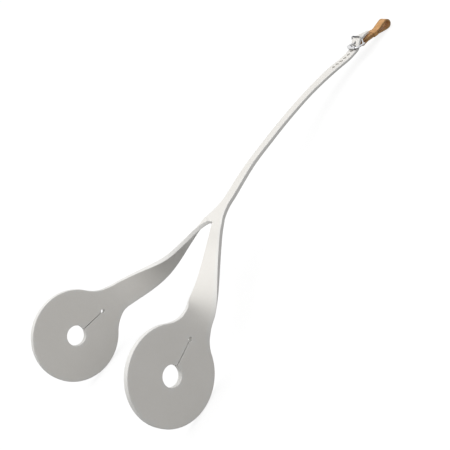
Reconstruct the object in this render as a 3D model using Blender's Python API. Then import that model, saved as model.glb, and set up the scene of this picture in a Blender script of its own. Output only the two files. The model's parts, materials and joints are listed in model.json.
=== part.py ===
import math

import bmesh
import bpy
import numpy as np
from mathutils.geometry import tessellate_polygon

# Lengths are in metres and angles in degrees. X runs across the nose, Y along the strap, Z up.
CLEARANCE = 0.0003
SLACK = 0.0002
RUBBER_EDGE = 0.0006
SHARP_ANGLE = 35.0

DISC_RADIUS = 0.045
DISC_THICK = 0.006
DISC_SPACING = 0.163
BIT_HOLE_RADIUS = 0.010
STOP_HOLE_RADIUS = 0.0021
STOP_HOLE_REACH = 0.036
SLIT_WIDTH = 0.0009
DISC_CLOSE_TURN = 176.0
DISC_ROWS = 26
NECK_ROWS = 5
TWIST_ROWS = 4

NECK_REACH = 0.050
NECK_WIDTH = 0.0272
NECK_FILLET = 0.035
ARM_ROOT_WIDTH = 0.0128
ARM_ROOT_OFFSET = 0.0093
ARM_SPLAY = 30.0
ARM_TAPER_POWER = 0.8
ARM_ROWS = 34
NOSE_TURNS = (75.0, 50.0, 25.0)

CROTCH_REACH = 0.154
CROTCH_ACROSS = -0.0033
CROTCH_HEIGHT = 0.056
CROTCH = np.array([CROTCH_ACROSS, CROTCH_REACH, CROTCH_HEIGHT])
YOKE_YAW = -5.8
YOKE_BANK = -5.4
YOKE_LENGTH = 0.030
YOKE_TIP = 0.007
YOKE_ROWS = 10
YOKE_FLARE = 1.85
ARCH_RADIUS = 0.0039
LIP_RELIEF = 0.00002

STRAP_WIDTH = 0.013
STRAP_THICK = 0.004
STRAP_END_THICK = 0.003
STRAP_REACH = 0.3014
# Where the strap passes on its way from the crotch to the heel bar, at shares of its reach.
STRAP_SHARES = [0.2488, 0.3799, 0.5275, 0.6835, 0.8394]
STRAP_ACROSS = [-0.0223, -0.0389, -0.0533, -0.0635, -0.0690]
STRAP_HEIGHTS = [0.0515, 0.0424, 0.0338, 0.0258, 0.0172]
STRAP_BANKS = [-10.0, -8.0, -7.0, -5.0, 4.0]
STRAP_TIP_WIDTH = 0.0045
STRAP_TIP_TAPER = 0.016
HOLE_RADIUS = 0.002
HOLE_PITCH = 0.0065
HOLE_COUNT = 7

HEEL_ACROSS = -0.0674
HEEL_HEIGHT = 0.0130
HEEL_BAR = np.array([HEEL_ACROSS, CROTCH_REACH + STRAP_REACH, HEEL_HEIGHT])
BUCKLE_YAW = 4.0
BUCKLE_LENGTH = 0.0125
BUCKLE_RISE = 0.0036
BUCKLE_PLAY = 0.0007
BUCKLE_CORNER = 0.0025
WIRE_RADIUS = 0.0012
ARCH_WIRE_RADIUS = 0.0008
ARCH_FOOT = 0.003
ROLLER_RADIUS = 0.0021
TONGUE_RADIUS = 0.0009
TONGUE_PLAY = 0.0006
TONGUE_WRAP = 190.0
STRAP_ENTRY = 0.0
STRAP_LEAD = 0.010
ROW_STEP = 0.005

LEATHER_WIDTH = 0.0105
LEATHER_THICK = 0.0022
SEAM_START = 0.007
SEAM_END = 0.025
LOOP_END = 0.046
LOOP_RISE = 0.007
FOLD_OPENING = 75.0
LOWER_BEND = 0.004
LOWER_BEND_DROP = 0.85
UPPER_BEND = 0.008
GAP_POINT = 0.001
GAP_LOWER = 0.006
GAP_LOWER_DROP = 0.6
GAP_UPPER = 0.009
GAP_UPPER_RISE = 0.55
KEEPER_PLACE = 0.0205
KEEPER_LENGTH = 0.006
KEEPER_THICK = 0.0008
KEEPER_GAP = 0.0009

RUBBER = ((0.87, 0.87, 0.84), 0.55, 0.0)
CHROME = ((0.80, 0.80, 0.80), 0.18, 1.0)
LEATHER = ((0.60, 0.34, 0.13), 0.60, 0.0)

UP = np.array([0.0, 0.0, 1.0])

# How each cheek stands: the disc's roll, lean and toe, and how its arm bends on the way.
RIGHT_CHEEK = {
    "name": "right_cheek_arm", "side": 1, "back": 0.0, "roll": 9.5, "lean": 7.9, "toe": -7.5,
    "leave": 0.026, "arrive": 0.026, "bow": (-0.0165, 0.006, -0.011), "turn": (-0.24, 0.18, 0.40),
    "ease": 1.34, "flat_from": 0.040,
}
LEFT_CHEEK = {
    "name": "left_cheek_arm", "side": -1, "back": -0.002, "roll": -8.2, "lean": -10.0, "toe": 1.1,
    "leave": 0.060, "arrive": 0.034, "bow": (0.008, 0.0067, -0.0055), "turn": (-0.20, -0.42, -0.06),
    "ease": 0.40, "flat_from": 0.048,
}


def unit(v):
    v = np.asarray(v, float)
    return v / np.linalg.norm(v)


def sin(degrees):
    return math.sin(math.radians(degrees))


def cos(degrees):
    return math.cos(math.radians(degrees))


def material(name, look):
    made = bpy.data.materials.new(name)
    made.use_nodes = True
    shader = made.node_tree.nodes["Principled BSDF"]
    shader.inputs["Base Color"].default_value = (*look[0], 1.0)
    shader.inputs["Roughness"].default_value = look[1]
    shader.inputs["Metallic"].default_value = look[2]
    return made


def make(name, points, faces, pivot, look=None):
    pivot = np.asarray(pivot, float)
    mesh = bpy.data.meshes.new(name)
    mesh.from_pydata([tuple(p - pivot) for p in points], [], [tuple(f) for f in faces])
    shell = bmesh.new()
    shell.from_mesh(mesh)
    bmesh.ops.triangulate(shell, faces=shell.faces)
    bmesh.ops.recalc_face_normals(shell, faces=shell.faces)
    shell.to_mesh(mesh)
    shell.free()
    mesh.shade_smooth()
    mesh.set_sharp_from_angle(angle=math.radians(SHARP_ANGLE))
    made = bpy.data.objects.new(name, mesh)
    made.location = pivot
    bpy.context.scene.collection.objects.link(made)
    if look:
        mesh.materials.append(material(name, look))
    else:
        made.hide_render = True
        made.display_type = "WIRE"
    return made


def combine(target, tool, operation="DIFFERENCE"):
    step = target.modifiers.new(tool.name, "BOOLEAN")
    step.operation = operation
    step.solver = "EXACT"
    step.object = tool


def loft(rings, closed=False):
    # rings: equal-sized rings of points, skinned one to the next, capped unless closed
    size = len(rings[0])
    count = len(rings)
    points = [p for ring in rings for p in ring]
    faces = []
    for i in range(count if closed else count - 1):
        for k in range(size):
            a = i * size
            b = ((i + 1) % count) * size
            faces.append((a + k, a + (k + 1) % size, b + (k + 1) % size, b + k))
    if not closed:
        faces.append(range(size))
        faces.append(range((count - 1) * size, count * size))
    return points, faces


def section(centre, across, normal, half_width, half_thick):
    edge = min(RUBBER_EDGE, 0.4 * half_thick, 0.4 * half_width)
    corners = []
    for x, y in ((1, 1), (-1, 1), (-1, -1), (1, -1)):
        wide = centre + x * half_width * across + y * (half_thick - edge) * normal
        tall = centre + x * (half_width - edge) * across + y * half_thick * normal
        corners += [wide, tall] if x * y > 0 else [tall, wide]
    return corners


def prism(name, outline, origin, x_axis, y_axis, low, high, look=None, openings=()):
    depth = np.cross(x_axis, y_axis)
    loops = [outline, *openings]
    flat = [spot for loop in loops for spot in loop]
    size = len(flat)
    points = [origin + x * x_axis + y * y_axis + d * depth for d in (low, high) for x, y in flat]
    caps = tessellate_polygon([[(x, y, 0.0) for x, y in loop] for loop in loops])
    faces = [*caps, *([k + size for k in cap] for cap in caps)]
    start = 0
    for loop in loops:
        for k in range(len(loop)):
            a = start + k
            b = start + (k + 1) % len(loop)
            faces.append((a, b, b + size, a + size))
        start += len(loop)
    return make(name, points, faces, origin, look)


def circle(radius, sides, x=0.0, y=0.0):
    turns = [360.0 * (k + 0.5) / sides for k in range(sides)]
    return [(x + radius * cos(t), y + radius * sin(t)) for t in turns]


def arc(x, y, radius, start, end, steps):
    turns = [start + (end - start) * k / steps for k in range(steps + 1)]
    return [(x + radius * cos(t), y + radius * sin(t)) for t in turns]


def tube(name, path, radius, flat_normal, closed, pivot, look=None, sides=12):
    path = [np.asarray(p, float) for p in path]
    rings = []
    for i, p in enumerate(path):
        before = path[i - 1] if closed or i > 0 else p
        after = path[(i + 1) % len(path)] if closed or i < len(path) - 1 else p
        side = np.cross(unit(after - before), flat_normal)
        rings.append([p + x * side + y * flat_normal for x, y in circle(radius, sides)])
    points, faces = loft(rings, closed)
    return make(name, points, faces, pivot, look)


def curve_through(points, step):
    # smooth curve through the points, resampled about every step
    points = np.array(points, float)
    chord = np.linalg.norm(np.diff(points, axis=0), axis=1)
    slope = np.diff(points, axis=0) / chord[:, None]
    tangent = np.empty_like(points)
    weight = (chord[1:] / (chord[1:] + chord[:-1]))[:, None]
    tangent[1:-1] = weight * slope[:-1] + (1 - weight) * slope[1:]
    tangent[0] = slope[0]
    tangent[-1] = slope[-1]
    rows = []
    for i, length in enumerate(chord):
        parts = max(1, round(length / step))
        for k in range(parts):
            t = k / parts
            rows.append((2 * t**3 - 3 * t**2 + 1) * points[i] + (3 * t**2 - 2 * t**3) * points[i + 1]
                        + length * ((t**3 - 2 * t**2 + t) * tangent[i] + (t**3 - t**2) * tangent[i + 1]))
    rows.append(points[-1])
    return np.array(rows)


def lengths_along(rows):
    return np.concatenate([[0.0], np.cumsum(np.linalg.norm(np.diff(rows, axis=0), axis=1))])


# The yoke plane, where the strap meets both arms.
yoke_along = np.array([sin(YOKE_YAW), cos(YOKE_YAW), 0.0])
level_across = unit(np.cross(yoke_along, UP))
yoke_normal = cos(YOKE_BANK) * UP + sin(YOKE_BANK) * level_across
yoke_across = cos(YOKE_BANK) * level_across - sin(YOKE_BANK) * UP
nose_radius = STRAP_THICK / 2
socket_radius = nose_radius + CLEARANCE
lip_setback = math.sqrt(socket_radius**2 - nose_radius**2) - LIP_RELIEF


def arm_root(side):
    root = CROTCH + side * ARM_ROOT_OFFSET * yoke_across
    leave = sin(ARM_SPLAY) * side * yoke_across - cos(ARM_SPLAY) * yoke_along
    return root, leave


def arm_rows(cheek, disc, toward_arm, outward):
    root, leave = arm_root(cheek["side"])
    neck = disc + NECK_REACH * toward_arm
    t = np.linspace(0.0, 1.0, ARM_ROWS)[:, None]
    first = root + cheek["leave"] * leave
    second = neck + cheek["arrive"] * toward_arm
    rows = (1 - t)**3 * root + 3 * (1 - t)**2 * t * first + 3 * (1 - t) * t**2 * second + t**3 * neck
    rows = rows + 16 * t**2 * (1 - t)**2 * np.array(cheek["bow"])
    # the last of the twist is taken up in the neck, before the disc lies flat
    spare = (NECK_REACH - cheek["flat_from"]) / TWIST_ROWS
    rows = np.array([*rows, *(neck - k * spare * toward_arm for k in range(1, TWIST_ROWS + 1))])
    along = np.gradient(rows, axis=0)
    along[0] = leave
    along[-1] = -toward_arm
    run = lengths_along(rows)
    share = (run / run[-1])**cheek["ease"]
    share = share**2 * (3 - 2 * share)
    frames = []
    for p, d, s in zip(rows, along, share):
        d = unit(d)
        n = (1 - s) * yoke_normal + s * outward + 4 * s * (1 - s) * np.array(cheek["turn"])
        n = unit(n - (n @ d) * d)
        frames.append((p, np.cross(d, n), n))
    return frames, run


def cheek_arm(cheek):
    side = cheek["side"]
    name = cheek["name"]
    lean = cheek["lean"]
    outward = unit((side * cos(lean) * cos(cheek["toe"]), -sin(cheek["toe"]), sin(lean)))
    toward_arm = np.array([0.0, cos(cheek["roll"]), sin(cheek["roll"])])
    toward_arm = unit(toward_arm - (toward_arm @ outward) * outward)
    tilt = math.asin(abs(outward[2]))
    height = DISC_RADIUS * math.cos(tilt) + (DISC_THICK / 2 - RUBBER_EDGE) * math.sin(tilt)
    disc = np.array([side * DISC_SPACING / 2, cheek["back"], height])

    frames, run = arm_rows(cheek, disc, toward_arm, outward)
    root, leave = arm_root(side)
    neck_half = NECK_WIDTH / 2
    root_half = ARM_ROOT_WIDTH / 2
    fillet_start = math.sqrt((DISC_RADIUS + NECK_FILLET)**2 - (neck_half + NECK_FILLET)**2)
    fillet_end = fillet_start * DISC_RADIUS / (DISC_RADIUS + NECK_FILLET)
    flat_from = cheek["flat_from"]
    taper = run[-1] - (fillet_start - flat_from)

    def half_width(reach):
        if reach < fillet_end:
            return math.sqrt(DISC_RADIUS**2 - reach**2)
        if reach < fillet_start:
            return neck_half + NECK_FILLET - math.sqrt(NECK_FILLET**2 - (fillet_start - reach)**2)
        gone = run[-1] - (reach - flat_from)
        swell = max(0.0, gone / taper)**ARM_TAPER_POWER
        return root_half + (neck_half - root_half) * swell

    rings = []
    for turn in NOSE_TURNS:
        centre = root - nose_radius * sin(turn) * leave
        rings.append(section(centre, frames[0][1], frames[0][2], root_half, nose_radius * cos(turn)))
    for (p, across, normal), s in zip(frames, run):
        thick = STRAP_THICK + (DISC_THICK - STRAP_THICK) * s / run[-1]
        rings.append(section(p, across, normal, half_width(flat_from + run[-1] - s), thick / 2))
    across = np.cross(-toward_arm, outward)
    steps = np.linspace(flat_from, fillet_end, NECK_ROWS)[1:]
    first_turn = math.degrees(math.acos(fillet_end / DISC_RADIUS))
    turns = np.linspace(first_turn, DISC_CLOSE_TURN, DISC_ROWS)[1:]
    for reach in [*steps, *(DISC_RADIUS * cos(t) for t in turns)]:
        rings.append(section(disc + reach * toward_arm, across, outward, half_width(reach), DISC_THICK / 2))
    points, faces = loft(rings)
    body = make(name, points, faces, root, RUBBER)

    through = DISC_THICK
    flat = (disc, toward_arm, np.cross(outward, toward_arm), -through, through)
    bit_hole = prism(name + "_bit_hole", circle(BIT_HOLE_RADIUS, 48), *flat)
    combine(body, bit_hole)
    stop_hole = prism(name + "_stop_hole", circle(STOP_HOLE_RADIUS, 16, STOP_HOLE_REACH), *flat)
    combine(body, stop_hole)
    half_slit = SLIT_WIDTH / 2
    inside = BIT_HOLE_RADIUS / 2
    slit_outline = [(inside, -half_slit), (STOP_HOLE_REACH, -half_slit),
                    (STOP_HOLE_REACH, half_slit), (inside, half_slit)]
    slit = prism(name + "_slit", slit_outline, *flat)
    combine(body, slit)
    return body


# The buckle stands over the strap's far end. Local plan: a along the buckle, h up from the heel bar.
buckle_along = np.array([sin(BUCKLE_YAW), cos(BUCKLE_YAW), 0.0])
buckle_across = np.cross(buckle_along, UP)
end_half = STRAP_END_THICK / 2
fold_radius = WIRE_RADIUS + CLEARANCE + LEATHER_THICK
roller_a = -BUCKLE_LENGTH
roller_h = BUCKLE_RISE
over_heel = fold_radius + CLEARANCE + SLACK + end_half
under_roller = ROLLER_RADIUS + CLEARANCE + SLACK + end_half
loop_reach = LOOP_END - fold_radius
leather_dip = math.degrees(
    math.asin(HEEL_BAR[2] / math.hypot(loop_reach, fold_radius)) - math.atan2(fold_radius, loop_reach))
leather_along = cos(leather_dip) * buckle_along - sin(leather_dip) * UP
leather_up = sin(leather_dip) * buckle_along + cos(leather_dip) * UP
frame_half = STRAP_WIDTH / 2 + BUCKLE_PLAY + WIRE_RADIUS


def buckle_point(a, h, r=0.0):
    return HEEL_BAR + a * buckle_along + h * UP + r * buckle_across


def strap_end_path():
    # under the roller, up through the frame, over the heel bar and along the leather
    gap = math.hypot(BUCKLE_LENGTH, BUCKLE_RISE)
    fall = math.degrees(math.atan2(BUCKLE_RISE, BUCKLE_LENGTH))
    climb = math.degrees(math.asin((over_heel + under_roller) / gap)) - fall
    tip_a = KEEPER_PLACE - KEEPER_LENGTH / 2 - KEEPER_GAP
    tip_h = LEATHER_THICK + CLEARANCE + SLACK + end_half
    reach = math.hypot(tip_a, tip_h)
    lie = leather_dip + math.degrees(math.asin(over_heel / reach) - math.atan2(tip_h, tip_a))
    entry = arc(roller_a, roller_h, under_roller, STRAP_ENTRY - 90, climb - 90, 4)
    crest = arc(0.0, 0.0, over_heel, climb + 90, 90 - lie, 6)
    length = math.sqrt(reach**2 - over_heel**2)
    tip = [(crest[-1][0] + length * cos(lie), crest[-1][1] - length * sin(lie))]
    lead = [(entry[0][0] - STRAP_LEAD * cos(STRAP_ENTRY), entry[0][1] - STRAP_LEAD * sin(STRAP_ENTRY))]
    return [buckle_point(a, h) for a, h in lead + entry + crest + tip], climb


def centre_strap():
    front = CROTCH - YOKE_TIP * yoke_along
    back = CROTCH + YOKE_LENGTH * yoke_along
    end_path, climb = strap_end_path()
    reaches = [CROTCH_REACH + share * STRAP_REACH for share in STRAP_SHARES]
    route = [np.array(spot) for spot in zip(STRAP_ACROSS, reaches, STRAP_HEIGHTS)]
    yoke_step = (YOKE_TIP + YOKE_LENGTH) / YOKE_ROWS
    yoke_rows = [front + k * yoke_step * yoke_along for k in range(YOKE_ROWS)]
    rows = np.array([*yoke_rows, *curve_through([back, *route, *end_path], ROW_STEP)])
    run = lengths_along(rows)
    along = np.gradient(rows, axis=0)
    bank_spots = [*route, end_path[0]]
    bank_rows = [int(np.argmin(np.linalg.norm(rows - spot, axis=1))) for spot in bank_spots]
    bank_run = [YOKE_TIP + YOKE_LENGTH, *run[bank_rows]]
    bank = np.interp(run, bank_run, [YOKE_BANK, *STRAP_BANKS, 0.0])
    thick = np.interp(run, [YOKE_TIP + YOKE_LENGTH, bank_run[-1]], [STRAP_THICK, STRAP_END_THICK])

    outer_x = ARM_ROOT_OFFSET + ARM_ROOT_WIDTH / 2 * cos(ARM_SPLAY)
    outer_y = ARM_ROOT_WIDTH / 2 * sin(ARM_SPLAY)
    flare_span = YOKE_LENGTH - outer_y
    rings = []
    for p, d, s, b, t in zip(rows, along, run, bank, thick):
        d = unit(d)
        level = unit(np.cross(d, UP))
        normal = cos(b) * np.cross(level, d) + sin(b) * level
        across = np.cross(d, normal)
        half = STRAP_WIDTH / 2
        ahead = YOKE_LENGTH + YOKE_TIP - s
        if ahead > 0:
            half += (outer_x - half) * (ahead / flare_span)**YOKE_FLARE
        left = max(0.0, (run[-1] - s) / STRAP_TIP_TAPER)
        if left < 1:
            half = (STRAP_TIP_WIDTH + (STRAP_WIDTH - STRAP_TIP_WIDTH) * left) / 2
        rings.append(section(p, across, normal, half, t / 2))
    points, faces = loft(rings)
    body = make("centre_strap", points, faces, CROTCH, RUBBER)

    arch = arc(0.0, -ARCH_RADIUS, ARCH_RADIUS, 0.0, 180.0, 16)
    arch += [(-ARCH_RADIUS, -YOKE_LENGTH), (ARCH_RADIUS, -YOKE_LENGTH)]
    combine(body, prism("crotch_arch", arch, CROTCH, yoke_across, yoke_along, -STRAP_THICK, STRAP_THICK))
    for side, label in ((1, "right"), (-1, "left")):
        root, leave = arm_root(side)
        edge_turn = math.degrees(math.asin(lip_setback / socket_radius)) + 90
        socket = arc(0.0, 0.0, socket_radius, edge_turn, 360 - edge_turn, 14)
        tall = 3 * STRAP_THICK
        socket += [(-lip_setback, -tall), (YOKE_LENGTH, -tall), (YOKE_LENGTH, tall), (-lip_setback, tall)]
        inner = ARM_ROOT_WIDTH / 2 + ARCH_RADIUS
        spread = (-inner, ARM_ROOT_WIDTH) if side > 0 else (-ARM_ROOT_WIDTH, inner)
        sideways = np.cross(leave, yoke_normal)
        if (sideways @ yoke_across) < 0:
            spread = (-spread[1], -spread[0])
        combine(body, prism(label + "_socket", socket, root, leave, yoke_normal, *spread))

    crossing = np.interp(-over_heel * sin(climb), (rows - HEEL_BAR) @ buckle_along, run)
    for k in range(1, HOLE_COUNT + 1):
        at = crossing - k * HOLE_PITCH
        spot = np.array([np.interp(at, run, rows[:, axis]) for axis in range(3)])
        d = unit([np.interp(at, run, along[:, axis]) for axis in range(3)])
        level = unit(np.cross(d, UP))
        turn = np.interp(at, run, bank)
        normal = cos(turn) * np.cross(level, d) + sin(turn) * level
        outline = circle(HOLE_RADIUS, 16)
        place = (spot, d, np.cross(normal, d), -STRAP_THICK, STRAP_THICK)
        combine(body, prism(f"strap_hole_{k}", outline, *place))
    prong = tongue_line()
    middle = (prong[0] + prong[1]) / 2
    pierce = unit(prong[1] - prong[0])
    tunnel = circle(TONGUE_RADIUS + TONGUE_PLAY, 16)
    sideways = np.cross(buckle_across, pierce)
    half_prong = np.linalg.norm(prong[1] - prong[0]) / 2
    combine(body, prism("tongue_hole", tunnel, middle, buckle_across, sideways, -half_prong, half_prong))
    return body


def tongue_line():
    hook = WIRE_RADIUS + CLEARANCE + TONGUE_RADIUS
    rest = ROLLER_RADIUS + CLEARANCE + TONGUE_RADIUS
    gap = math.hypot(BUCKLE_LENGTH, BUCKLE_RISE)
    rise = math.degrees(math.atan2(BUCKLE_RISE, BUCKLE_LENGTH) + math.asin((rest - hook) / gap))
    start = (hook * sin(rise), hook * cos(rise))
    reach = gap + ROLLER_RADIUS
    end = (start[0] - reach * cos(rise), start[1] + reach * sin(rise))
    return buckle_point(*start), buckle_point(*end), rise, hook


def buckle_frame():
    slope = math.atan2(BUCKLE_RISE, BUCKLE_LENGTH)
    gap = math.hypot(BUCKLE_LENGTH, BUCKLE_RISE)
    toward_roller = -math.cos(slope) * buckle_along + math.sin(slope) * UP
    inset = frame_half - BUCKLE_CORNER
    far = gap - BUCKLE_CORNER
    outline = arc(inset, BUCKLE_CORNER, BUCKLE_CORNER, -90, 0, 5) + arc(inset, far, BUCKLE_CORNER, 0, 90, 5)
    outline += arc(-inset, far, BUCKLE_CORNER, 90, 180, 5)
    outline += arc(-inset, BUCKLE_CORNER, BUCKLE_CORNER, 180, 270, 5)
    path = [HEEL_BAR + x * buckle_across + y * toward_roller for x, y in outline]
    flat_normal = np.cross(buckle_across, toward_roller)
    frame = tube("buckle_frame", path, WIRE_RADIUS, flat_normal, True, HEEL_BAR, CHROME)

    foot = HEEL_BAR + ARCH_FOOT * toward_roller
    top = buckle_point(0.0, over_heel + end_half + CLEARANCE + SLACK + ARCH_WIRE_RADIUS)
    rise = np.linalg.norm(top - foot)
    leg = (top - foot) / rise
    bend = rise - BUCKLE_CORNER
    outline = [(frame_half, 0.0)] + arc(inset, bend, BUCKLE_CORNER, 0, 90, 5)
    outline += arc(-inset, bend, BUCKLE_CORNER, 90, 180, 5) + [(-frame_half, 0.0)]
    path = [foot + x * buckle_across + y * leg for x, y in outline]
    hoop = tube("buckle_hoop", path, ARCH_WIRE_RADIUS, np.cross(buckle_across, leg), False, foot)
    combine(frame, hoop, "UNION")
    return frame


def buckle_roller():
    half = frame_half - BUCKLE_CORNER - CLEARANCE
    centre = buckle_point(roller_a, roller_h)
    bore = WIRE_RADIUS + CLEARANCE
    profile = [(bore, -half), (ROLLER_RADIUS, -half), (ROLLER_RADIUS, half), (bore, half)]
    rings = []
    for x, y in circle(1.0, 24):
        spoke = x * buckle_along + y * UP
        rings.append([centre + radius * spoke + r * buckle_across for radius, r in profile])
    points, faces = loft(rings, True)
    return make("buckle_roller", points, faces, centre, CHROME)


def buckle_tongue():
    start, end, rise, hook = tongue_line()
    wrap = arc(0.0, 0.0, hook, rise - TONGUE_WRAP, 90 - rise, 14)
    path = [buckle_point(a, h) for a, h in wrap] + [end]
    return tube("buckle_tongue", path, TONGUE_RADIUS, buckle_across, False, HEEL_BAR, CHROME, 10)


def head_loop():
    seam = LEATHER_THICK
    end_radius = (LOOP_RISE + fold_radius) / 2
    end_h = (LOOP_RISE - fold_radius) / 2
    end_a = LOOP_END - end_radius
    outline = arc(0.0, 0.0, fold_radius, FOLD_OPENING, 360 - FOLD_OPENING, 14)
    outline += [(SEAM_START, -seam), (SEAM_END, -seam)]
    outline += [(SEAM_END + LOWER_BEND, -fold_radius * LOWER_BEND_DROP)]
    outline += arc(end_a, end_h, end_radius, -90, 90, 12)
    outline += [(SEAM_END + UPPER_BEND, (seam + LOOP_RISE) / 2), (SEAM_END, seam), (SEAM_START, seam)]
    inner = end_radius - LEATHER_THICK
    gap = [(SEAM_END + GAP_POINT, 0.0), (SEAM_END + GAP_LOWER, end_h - inner * GAP_LOWER_DROP)]
    gap += arc(end_a, end_h, inner, -90, 90, 12)
    gap += [(SEAM_END + GAP_UPPER, end_h + inner * GAP_UPPER_RISE)]
    bore = circle(WIRE_RADIUS + CLEARANCE, 24)
    half = LEATHER_WIDTH / 2
    place = (HEEL_BAR, leather_along, leather_up)
    body = prism("head_loop", outline, *place, -half, half, LEATHER, (bore, gap))
    slot_half = TONGUE_RADIUS + TONGUE_PLAY
    reach = fold_radius + CLEARANCE
    slot = [(-reach, -reach), (reach, -reach), (reach, reach), (-reach, reach)]
    combine(body, prism("tongue_slot", slot, *place, -slot_half, slot_half))
    return body


def strap_keeper():
    centre = HEEL_BAR + KEEPER_PLACE * leather_along
    half = LEATHER_WIDTH / 2 + CLEARANCE
    low = -LEATHER_THICK - CLEARANCE
    high = LEATHER_THICK + CLEARANCE
    outer = [(half + KEEPER_THICK, low - KEEPER_THICK), (half + KEEPER_THICK, high + KEEPER_THICK)]
    outer += [(-x, y) for x, y in reversed(outer)]
    inner = [(half, low), (half, high), (-half, high), (-half, low)]
    rings = []
    for outline, end in ((outer, -1), (outer, 1), (inner, 1), (inner, -1)):
        shift = end * KEEPER_LENGTH / 2 * leather_along
        rings.append([centre + x * buckle_across + y * leather_up + shift for x, y in outline])
    points, faces = loft(rings, True)
    return make("strap_keeper", points, faces, centre, LEATHER)


def clear_scene():
    for old in list(bpy.data.objects):
        bpy.data.objects.remove(old, do_unlink=True)


def settle(pieces):
    # the part's origin is the middle of its box, on the floor
    bpy.context.view_layer.update()
    depsgraph = bpy.context.evaluated_depsgraph_get()
    corners = []
    for piece in pieces:
        shown = piece.evaluated_get(depsgraph)
        corners += [shown.matrix_world @ v.co for v in shown.data.vertices]
    spots = np.array([tuple(c) for c in corners])
    low = spots.min(axis=0)
    high = spots.max(axis=0)
    root = bpy.data.objects.new("noseband", None)
    bpy.context.scene.collection.objects.link(root)
    root.location = (-(low[0] + high[0]) / 2, -(low[1] + high[1]) / 2, -low[2])
    for other in list(bpy.context.scene.collection.objects):
        if other is not root:
            other.parent = root


clear_scene()
settle([centre_strap(), cheek_arm(LEFT_CHEEK), cheek_arm(RIGHT_CHEEK), buckle_frame(), buckle_roller(),
        buckle_tongue(), head_loop(), strap_keeper()])
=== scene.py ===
import json
import math

import bmesh
import bpy
import numpy as np
from mathutils import Matrix, Vector
from mathutils.geometry import delaunay_2d_cdt

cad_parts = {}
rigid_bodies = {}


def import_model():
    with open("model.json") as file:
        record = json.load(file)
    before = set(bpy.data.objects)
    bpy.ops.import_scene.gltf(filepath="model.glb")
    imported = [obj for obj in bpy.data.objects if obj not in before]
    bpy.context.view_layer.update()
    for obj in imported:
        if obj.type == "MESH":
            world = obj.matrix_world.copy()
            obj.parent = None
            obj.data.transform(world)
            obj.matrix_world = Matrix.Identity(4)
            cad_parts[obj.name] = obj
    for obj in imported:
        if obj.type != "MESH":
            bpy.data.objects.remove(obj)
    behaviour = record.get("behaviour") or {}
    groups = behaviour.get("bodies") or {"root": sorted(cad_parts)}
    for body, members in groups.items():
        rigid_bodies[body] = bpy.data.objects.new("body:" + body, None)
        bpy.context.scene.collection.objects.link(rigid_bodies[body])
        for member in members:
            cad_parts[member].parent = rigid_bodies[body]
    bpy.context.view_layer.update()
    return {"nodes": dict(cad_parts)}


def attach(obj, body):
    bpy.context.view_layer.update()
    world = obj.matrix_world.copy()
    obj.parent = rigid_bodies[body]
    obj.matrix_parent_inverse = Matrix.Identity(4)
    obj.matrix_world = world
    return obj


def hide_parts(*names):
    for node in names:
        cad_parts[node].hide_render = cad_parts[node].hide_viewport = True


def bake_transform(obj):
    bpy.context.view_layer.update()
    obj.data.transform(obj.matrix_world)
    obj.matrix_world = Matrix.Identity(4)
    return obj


for leftOver in list(bpy.data.objects):
    bpy.data.objects.remove(leftOver, do_unlink=True)

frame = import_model()
print("frame loaded,", len(frame["nodes"]), "nodes")

# everything below is drawn with the discs at y 0, then moved into the part's own frame
drawingShift = np.array((-0.000347, -0.226990, 0.0))
upward = np.array((0.0, 0.0, 1.0))
gap = 0.0003          # running clearance
slack = 0.0002        # extra room where the strap passes the buckle
creaseAngle = math.radians(38.0)
weldGap = 2e-6


def sinD(degrees):
    return math.sin(math.radians(degrees))


def cosD(degrees):
    return math.cos(math.radians(degrees))


def unitOf(v):
    v = np.asarray(v, float)
    return v / np.linalg.norm(v)


def arcPoints(x, y, radius, start, end, steps):
    return [(x + radius * cosD(t), y + radius * sinD(t)) for t in np.linspace(start, end, steps + 1)]


def runOf(rows):
    return np.concatenate([[0.0], np.cumsum(np.linalg.norm(np.diff(rows, axis=0), axis=1))])


def curveThrough(points, step):
    points = np.array(points, float)
    chord = np.linalg.norm(np.diff(points, axis=0), axis=1)
    slope = np.diff(points, axis=0) / chord[:, None]
    tangent = np.empty_like(points)
    weight = (chord[1:] / (chord[1:] + chord[:-1]))[:, None]
    tangent[1:-1] = weight * slope[:-1] + (1 - weight) * slope[1:]
    tangent[0] = slope[0]
    tangent[-1] = slope[-1]
    rows = []
    for i, length in enumerate(chord):
        parts = max(1, round(length / step))
        for k in range(parts):
            t = k / parts
            rows.append((2 * t**3 - 3 * t**2 + 1) * points[i] + (3 * t**2 - 2 * t**3) * points[i + 1]
                        + length * ((t**3 - 2 * t**2 + t) * tangent[i] + (t**3 - t**2) * tangent[i + 1]))
    rows.append(points[-1])
    return np.array(rows)


# shader groups that several finishes share

def newGroup(name, inputs, outputs):
    group = bpy.data.node_groups.new(name, "ShaderNodeTree")
    for label, kind, value in inputs:
        socket = group.interface.new_socket(label, in_out="INPUT", socket_type=kind)
        socket.default_value = value
    for label, kind in outputs:
        group.interface.new_socket(label, in_out="OUTPUT", socket_type=kind)
    return group, group.nodes.new("NodeGroupInput"), group.nodes.new("NodeGroupOutput")


def mathNode(tree, operation, a, b):
    node = tree.nodes.new("ShaderNodeMath")
    node.operation = operation
    for socket, value in zip(node.inputs, (a, b)):
        if isinstance(value, (int, float)):
            socket.default_value = value
        else:
            tree.links.new(value, socket)
    return node.outputs[0]


def noiseNode(tree, vector, scale, detail):
    node = tree.nodes.new("ShaderNodeTexNoise")
    tree.links.new(vector, node.inputs["Vector"])
    for label, value in (("Scale", scale), ("Detail", detail)):
        if isinstance(value, (int, float)):
            node.inputs[label].default_value = value
        else:
            tree.links.new(value, node.inputs[label])
    return node.outputs["Fac"]


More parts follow.
